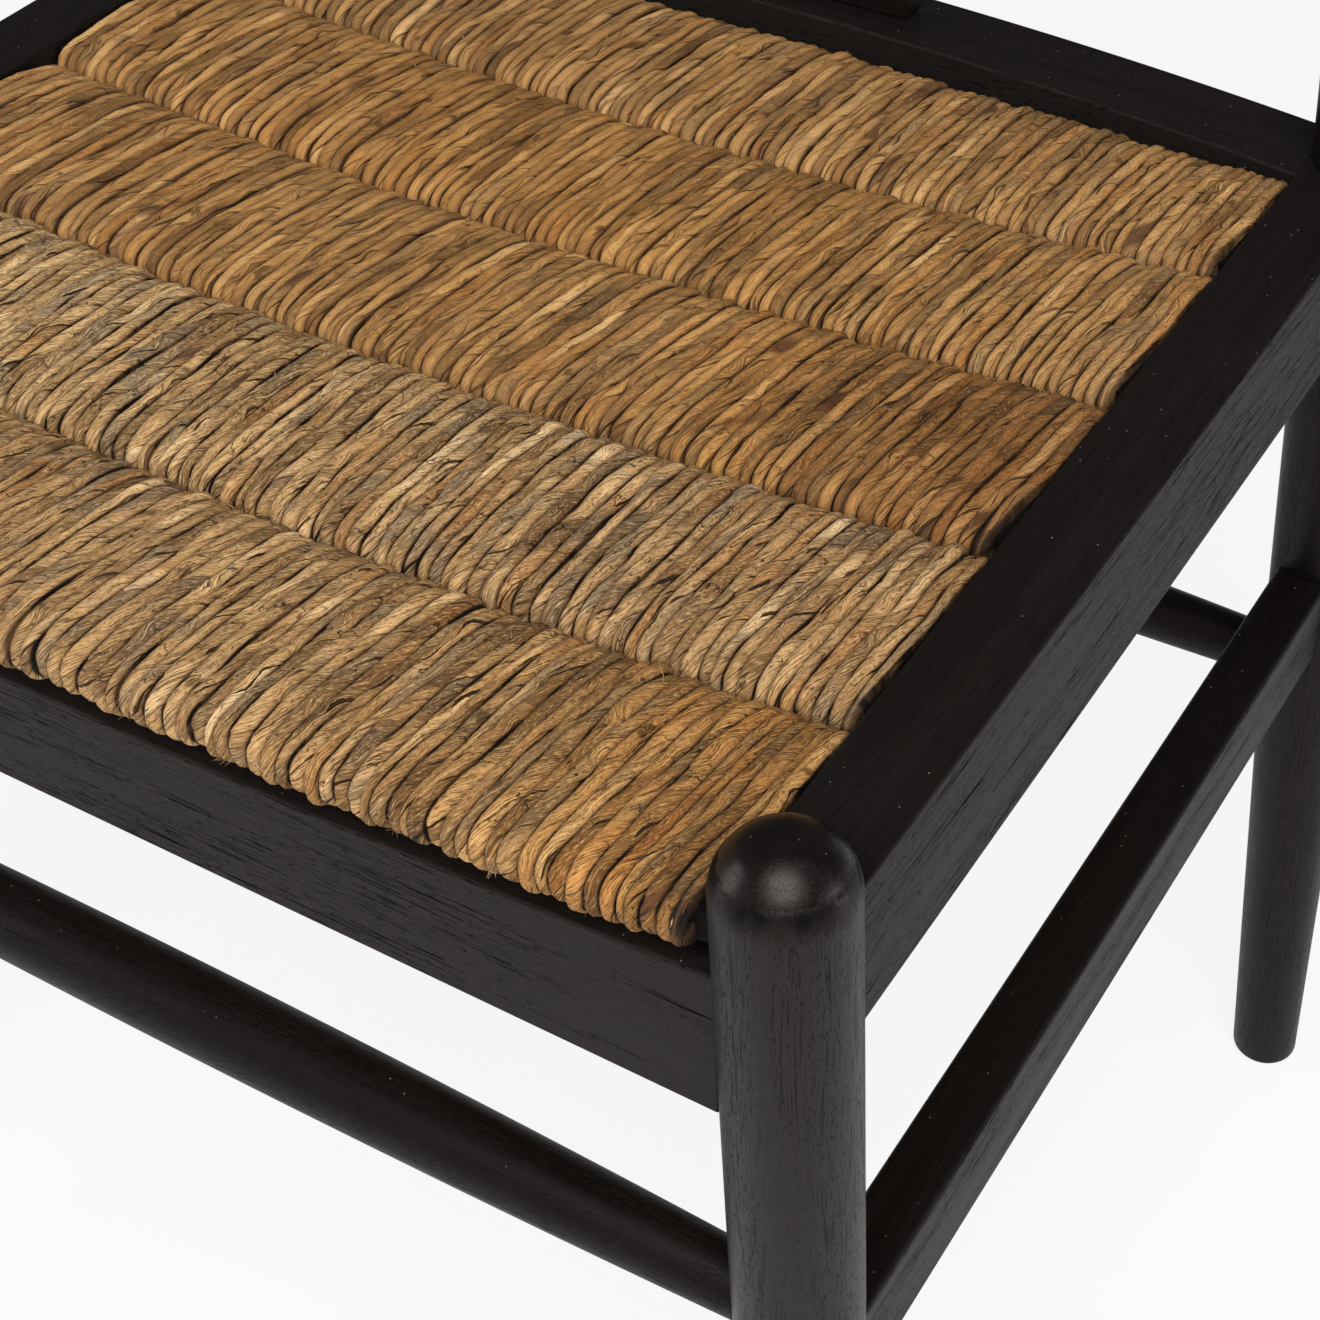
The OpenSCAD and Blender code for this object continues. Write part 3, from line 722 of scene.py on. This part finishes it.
def winding(number, lay_length, slant, swing, gold, keen):
    """One roll, as one closed tube. Returns the tube's skin, ring by ring.

    lay_length is the length of a twist of the leaf, slant the turns' lean in degrees and
    swing how much it changes from left to right, gold the yellowing at the left end, in
    the middle and at the right end, which above 0.9 also darkens the straw and below 0
    makes it paler, and keen how crisp the fine marks are."""
    chance = np.random.default_rng(700 + number)
    front = seat_front + (number - 1) * roll_pitch

    # The section of the roll as the line of the cord's middle, from under the slat round
    # its front edge, over the top and back down, by distance along it. Its rings lie
    # closer together round the edges, and further apart underneath.
    angle = np.linspace(1.5 * pi, -0.5 * pi, 2001)
    deep = roll_pitch / 2 - roll_gap / 2 - cord_r + cord_give
    tall = roll_half_t - cord_r
    path_y = deep * squarish(np.cos(angle), 2 / 3.3)
    path_z = tall * squarish(np.sin(angle), 2 / 3.3)
    step = np.hypot(np.diff(path_y), np.diff(path_z))
    edge = np.abs(path_y[1:]) > deep * 0.86
    weight = np.where((path_z[1:] < 0) & ~edge, 0.42, 1.0) * (1 + 1.2 * edge)
    run = np.concatenate([[0], np.cumsum(step)])
    spread = np.concatenate([[0], np.cumsum(step * weight)])
    loop = run[-1]

    rings = turns * rings_per_turn
    shape = bmesh.new()
    bmesh.ops.create_grid(shape, x_segments=rings, y_segments=cord_sides, size=0.5)
    made = bpy.data.meshes.new(f"seat_wrap_{number}_cord")
    shape.to_mesh(made)
    flat = np.empty(len(made.vertices) * 3)
    made.vertices.foreach_get("co", flat)
    flat = flat.reshape(-1, 3)
    ring = np.rint((flat[:, 0] + 0.5) * rings)
    side = np.rint((flat[:, 1] + 0.5) * cord_sides)

    # Where each ring lies: the turn, and the place within it
    turn = np.floor(ring / rings_per_turn)
    share = ring / rings_per_turn - turn
    along = np.interp(share * spread[-1], spread, run)
    t = turn + along / loop
    y0 = np.interp(along, run, path_y)
    z0 = np.interp(along, run, path_z)

    # The lines between neighbouring turns wander, so the cord's width comes and goes. The
    # cord runs straight over the top and steps sideways to its next turn under the slat.
    under = np.clip(1 - np.minimum(along, loop - along) / (0.17 * loop), 0, 1)
    under = under * under * (3 - 2 * under)
    level = turn + 0.5 - 0.5 * under * np.where(along < loop / 2, 1, -1)
    pace = np.cumsum(1 + (0.10 + 0.11 * keen) * np.clip(chance.normal(0, 1, turns + 4), -1.6, 1.6))
    first, last = np.interp([0.5, turns + 0.5], np.arange(turns + 4), pace)
    sway = drift(chance, 0.16)
    quiver = drift(chance, 0.07)

    def border(level, t):
        """X of the line between two turns; level counts the lines, t goes along the cord."""
        ends = np.clip(np.minimum(level - 0.5, turns + 0.5 - level), 0, 1)
        place = (np.interp(level, np.arange(turns + 4), pace) - first) / (last - first)
        wander = (0.00060 * sway(t) + 0.00040 * quiver(t)) * (0.45 + 0.40 * keen) * ends
        return wrap_half * (2 * place - 1) + wander

    # The turns lean: each lies on a slant across the roll, except where a rail is in the way
    tilt = drift(chance, 22)
    room = np.clip(np.minimum(level, turns - level) / 6, 0, 1)
    room = np.where(y0 * (level - turns / 2) < 0, 1, room)
    lean_by = slant + swing * (level / turns - 0.5) + 1.2 * tilt(level)
    shear = np.tan(np.radians(lean_by)) * room * y0
    left, right = border(level, t) + shear, border(level + 1, t + 1) + shear
    wide = np.maximum(right - left, cord_w_least)
    middle = np.clip((left + right) / 2, -wrap_half + wide / 2, wrap_half - wide / 2)

    # The last roll's back follows the bow of the back rail
    if number < 5:
        rear = front + roll_pitch - roll_gap
    else:
        rail_face = np.sqrt((bow_r - back_rail_t / 2) ** 2 - middle ** 2)
        rear = back_y + bow - bow_r + rail_face - rear_gap
    stretch = ((rear - front) / 2 + cord_give - cord_r) / deep
    normal_y = squarish(y0 / deep, 2.4) / deep
    normal_z = squarish(z0 / tall, 2.4) / tall
    size = np.hypot(normal_y, normal_z)
    normal_y, normal_z = normal_y / size, normal_z / size

    # The leaf's lay: how far it has twisted by each ring
    knots_per_turn = 64
    knots = np.arange(0, turns + 1, 1 / knots_per_turn)
    on_top = np.where(path_z > 0, 1 - (path_y / deep) ** 6, 0)
    crown = np.interp((knots - np.floor(knots)) * loop, run, on_top)
    uneven = np.exp(0.36 * np.clip(drift(chance, 0.4)(knots), -2, 2))
    tight = lay_length * (0.6 + 1.1 * crown) * uneven
    twist = np.interp(t, knots, np.cumsum(loop / knots_per_turn / tight))
    twist = twist + 0.10 * drift(chance, 0.05)(t)

    # The cord's own section, with most of its sides where it shows
    spots = np.concatenate([np.linspace(-20, 200, cord_sides - 2),
                            200 + np.array([1, 2, 3]) * 140 / 3])
    theta = np.radians(np.interp(side, np.arange(cord_sides + 1), spots))
    u = theta / tau + twist
    saw = u - np.floor(u)
    step_up = np.where(saw < 0.10, saw / 0.10, 1 - 0.5 * (saw - 0.10) / 0.90)
    ripple = 0.5 * drift(chance, 0.012)(t + 0.013 * side) + 0.5 * drift(chance, 0.02)(t + 3 * side)
    puff = 1 + 0.22 * (step_up - 0.8) + 0.05 * ripple
    thick = cord_r * (1 + 0.10 * drift(chance, 0.11)(t) + 0.18 * (wide / cord_w - 1))
    lift = 0.00046 * drift(chance, 0.19)(t) + 0.00028 * drift(chance, 0.06)(t)
    pinch = 1 - 0.16 * np.clip(drift(chance, 0.22)(t + 3) - 0.8, 0, 1)
    across = squarish(np.cos(theta), 0.92) * wide * 0.52 * puff * pinch
    out = squarish(np.sin(theta), 0.92) * thick * puff + lift

    # The cord's two ends are tucked up against the slat
    out = out - 0.0022 * np.clip(1 - np.minimum(t, turns - t) / 0.06, 0, 1)
    where = np.empty_like(flat)
    where[:, 0] = middle + across
    where[:, 1] = (rear + front) / 2 + y0 * stretch + normal_y * out
    where[:, 2] = crest_z - roll_half_t - sag(middle) + z0 + normal_z * out
    made.vertices.foreach_set("co", where.ravel())

    corner = np.empty(len(made.loops), dtype=np.int32)
    made.loops.foreach_get("vertex_index", corner)
    lie = np.column_stack([u, t * loop + 31 * number])[corner]
    made.uv_layers.new(name="lay").data.foreach_set("uv", lie.ravel())
    # Painted shade: the cord's sides darken where they lie deep between the turns, and the front
    # of the last turn darkens where it meets the right side rail
    rail_end_shade = np.clip(1.4 - np.abs(turns - 0.8 - t) / 0.2, 0, 1)
    painted_gap_shade = np.clip((0.92 - np.sin(theta)) / 0.55 + 0.85 * rail_end_shade, 0, 1)
    left_gold, mid_gold, right_gold = gold
    rich = np.interp(middle / wrap_half, (-1, -0.3, 0.3, 1),
                     (left_gold, mid_gold, mid_gold, right_gold))
    crisp = np.minimum(keen + 0.38 * np.clip(0.15 + middle / wrap_half, 0, 1), 1)
    for name, value in (("gap_shade", painted_gap_shade), ("golden", rich), ("keen", crisp)):
        made.attributes.new(name, "FLOAT", "POINT").data.foreach_set("value", value)

    skin = where[np.lexsort((side, ring))].reshape(rings + 1, cord_sides + 1, 3)
    shape.clear()
    shape.from_mesh(made)
    seam = [vert for vert in shape.verts if vert.is_boundary]
    bmesh.ops.remove_doubles(shape, verts=seam, dist=1e-7)
    rims = [edge for edge in shape.edges if edge.is_boundary]
    bmesh.ops.holes_fill(shape, edges=rims, sides=0)
    bmesh.ops.recalc_face_normals(shape, faces=shape.faces)
    bpy.data.meshes.remove(made)
    piece(shape, f"seat_wrap_{number}_cord", f"seat_wrap_{number}",
          leaf_cord, smooth=True)
    return skin


skins = [winding(1, 0.026, 7.0, 3.0, (0.9, 0.05, 1.2), 1.0),
         winding(2, 0.026, 1.5, 1.0, (-1.4, -0.35, 0.1), 1.0),
         winding(3, 0.034, 6.0, 0.0, (0.7, 0.75, 1.5), 0.4),
         winding(4, 0.036, 3.5, 0.0, (0.75, 0.95, 0.55), 0.3),
         winding(5, 0.038, 3.0, 4.0, (0.6, 0.6, 0.6), 0.25)]


# Stray fibres: where the leaf has split, single fibres and small flakes stand off the
# cord. The most are on the front roll, which has frayed tufts along its lower edge.
loose_fibre, dry = new_finish("loose leaf fibre")
place = dry.node("TexCoord", out="Object")
streak = dry.noise(place, 2600.0, 1.0)
tone = dry.noise(place, 160.0, 2.0).between(0.35, 0.65)
tone = tone.tint(rgb(0.24, 0.13, 0.055), rgb(0.62, 0.42, 0.21))
tone = (streak.between(0.55, 0.4) * 0.5).tint(tone, rgb(0.12, 0.06, 0.025))
dry.node("OutputMaterial", {
    "Surface": dry.surface(tone, 0.60 + 0.2 * streak, streak * 0.0001, shine=0.25)})
fibres_a_roll = 90
tufts = 14
tuft_hairs = 11


def stray(chance, skin, ring, side, reach, rise, droop=0.0):
    """Five points of a fibre that starts in the cord's skin, follows it and stands off."""
    foot = skin[ring, side]
    run = skin[min(ring + 4, len(skin) - 1), side] - skin[max(ring - 4, 0), side]
    run = run / np.linalg.norm(run) * chance.choice((-1, 1))
    out = foot - skin[ring].mean(axis=0)
    out = out / np.linalg.norm(out)
    bend = np.cross(run, out) * chance.normal(0, 0.45)
    curl = chance.normal(0, 0.35)
    steps = np.array([0, 0.2, 0.45, 0.72, 1.0])[:, None]
    path = run * steps + bend * steps ** 2 + np.cross(run, out) * curl * steps ** 3
    line = foot - out * 0.0004 + reach * path
    line = line + out * rise * steps ** 1.4
    line[:, 2] -= droop * steps[:, 0]
    return line


for number, skin in enumerate(skins, 1):
    chance = np.random.default_rng(900 + number)
    fibres = []
    while len(fibres) < fibres_a_roll:
        ring = int(chance.integers(40, rings_per_turn * turns - 40))
        side = int(chance.integers(2, 7))
        middle = skin[ring].mean(axis=0)
        if middle[2] > crest_z - roll_half_t - float(sag(middle[0])) + 0.001:
            flake = chance.random() < 0.15
            reach = chance.uniform(0.0015, 0.0035) if flake else chance.uniform(0.002, 0.008)
            rise = chance.uniform(0.0002, 0.0009) if flake else chance.exponential(0.0008) + 0.0003
            line = stray(chance, skin, ring, side, reach, min(rise, 0.003))
            fibres.append((line, 2.6 if flake else chance.uniform(0.5, 1.1)))
    for tuft in range(tufts if number == 1 else 0):
        turn = int(chance.integers(4, turns - 4))
        ring = int(turn * rings_per_turn + rings_per_turn * chance.uniform(0.17, 0.23))
        for hair in range(tuft_hairs):
            beside = ring + int(chance.integers(-3, 4))
            side = int(chance.integers(2, 7))
            reach = chance.uniform(0.001, 0.0035)
            rise = chance.uniform(0.0004, 0.0022)
            line = stray(chance, skin, beside, side, reach, rise, chance.uniform(0, 0.0020))
            fibres.append((line, chance.uniform(0.5, 1.0)))
    bundle = bpy.data.curves.new("fibres", "CURVE")
    bundle.dimensions = "3D"
    bundle.bevel_depth = 0.00011
    bundle.bevel_resolution = 0
    bundle.use_fill_caps = True
    for line, thick in fibres:
        spline = bundle.splines.new("NURBS")
        spline.points.add(len(line) - 1)
        spline.points.foreach_set("co", np.column_stack([line, np.ones(len(line))]).ravel())
        spline.points.foreach_set("radius", thick * np.array([1.1, 1.0, 0.9, 0.7, 0.3]))
        spline.order_u = 3
        spline.use_endpoint_u = True
        spline.resolution_u = 3
    holder = bpy.data.objects.new("fibres", bundle)
    bpy.context.collection.objects.link(holder)
    bpy.context.view_layer.update()
    seen = holder.evaluated_get(bpy.context.evaluated_depsgraph_get())
    made = bpy.data.meshes.new_from_object(seen)
    bpy.data.objects.remove(holder)
    shape = bmesh.new()
    shape.from_mesh(made)
    bpy.data.meshes.remove(made)
    bmesh.ops.recalc_face_normals(shape, faces=shape.faces)
    piece(shape, f"seat_wrap_{number}_stray_fibres", None,
          loose_fibre, smooth=True)


# Foot glides: moulded nylon discs, each nailed up into the end of a leg. Their faces are
# fine-grained, and rubbed a little paler in places.
nylon, moulded = new_finish("moulded nylon")
place = moulded.node("TexCoord", out="Object")
grit = moulded.noise(place, 2600.0, 2.0)
rub = moulded.noise(place, 240.0, 4.0)
tone = rub.between(0.45, 0.7).tint(rgb(0.026, 0.026, 0.026), rgb(0.05, 0.049, 0.047))
moulded.node("OutputMaterial", {
    "Surface": moulded.surface(tone, 0.45 + 0.2 * rub, grit * 0.00004)})
for corner in ("front_left", "front_right", "back_left", "back_right"):
    dress(f"glide_{corner}", nylon)
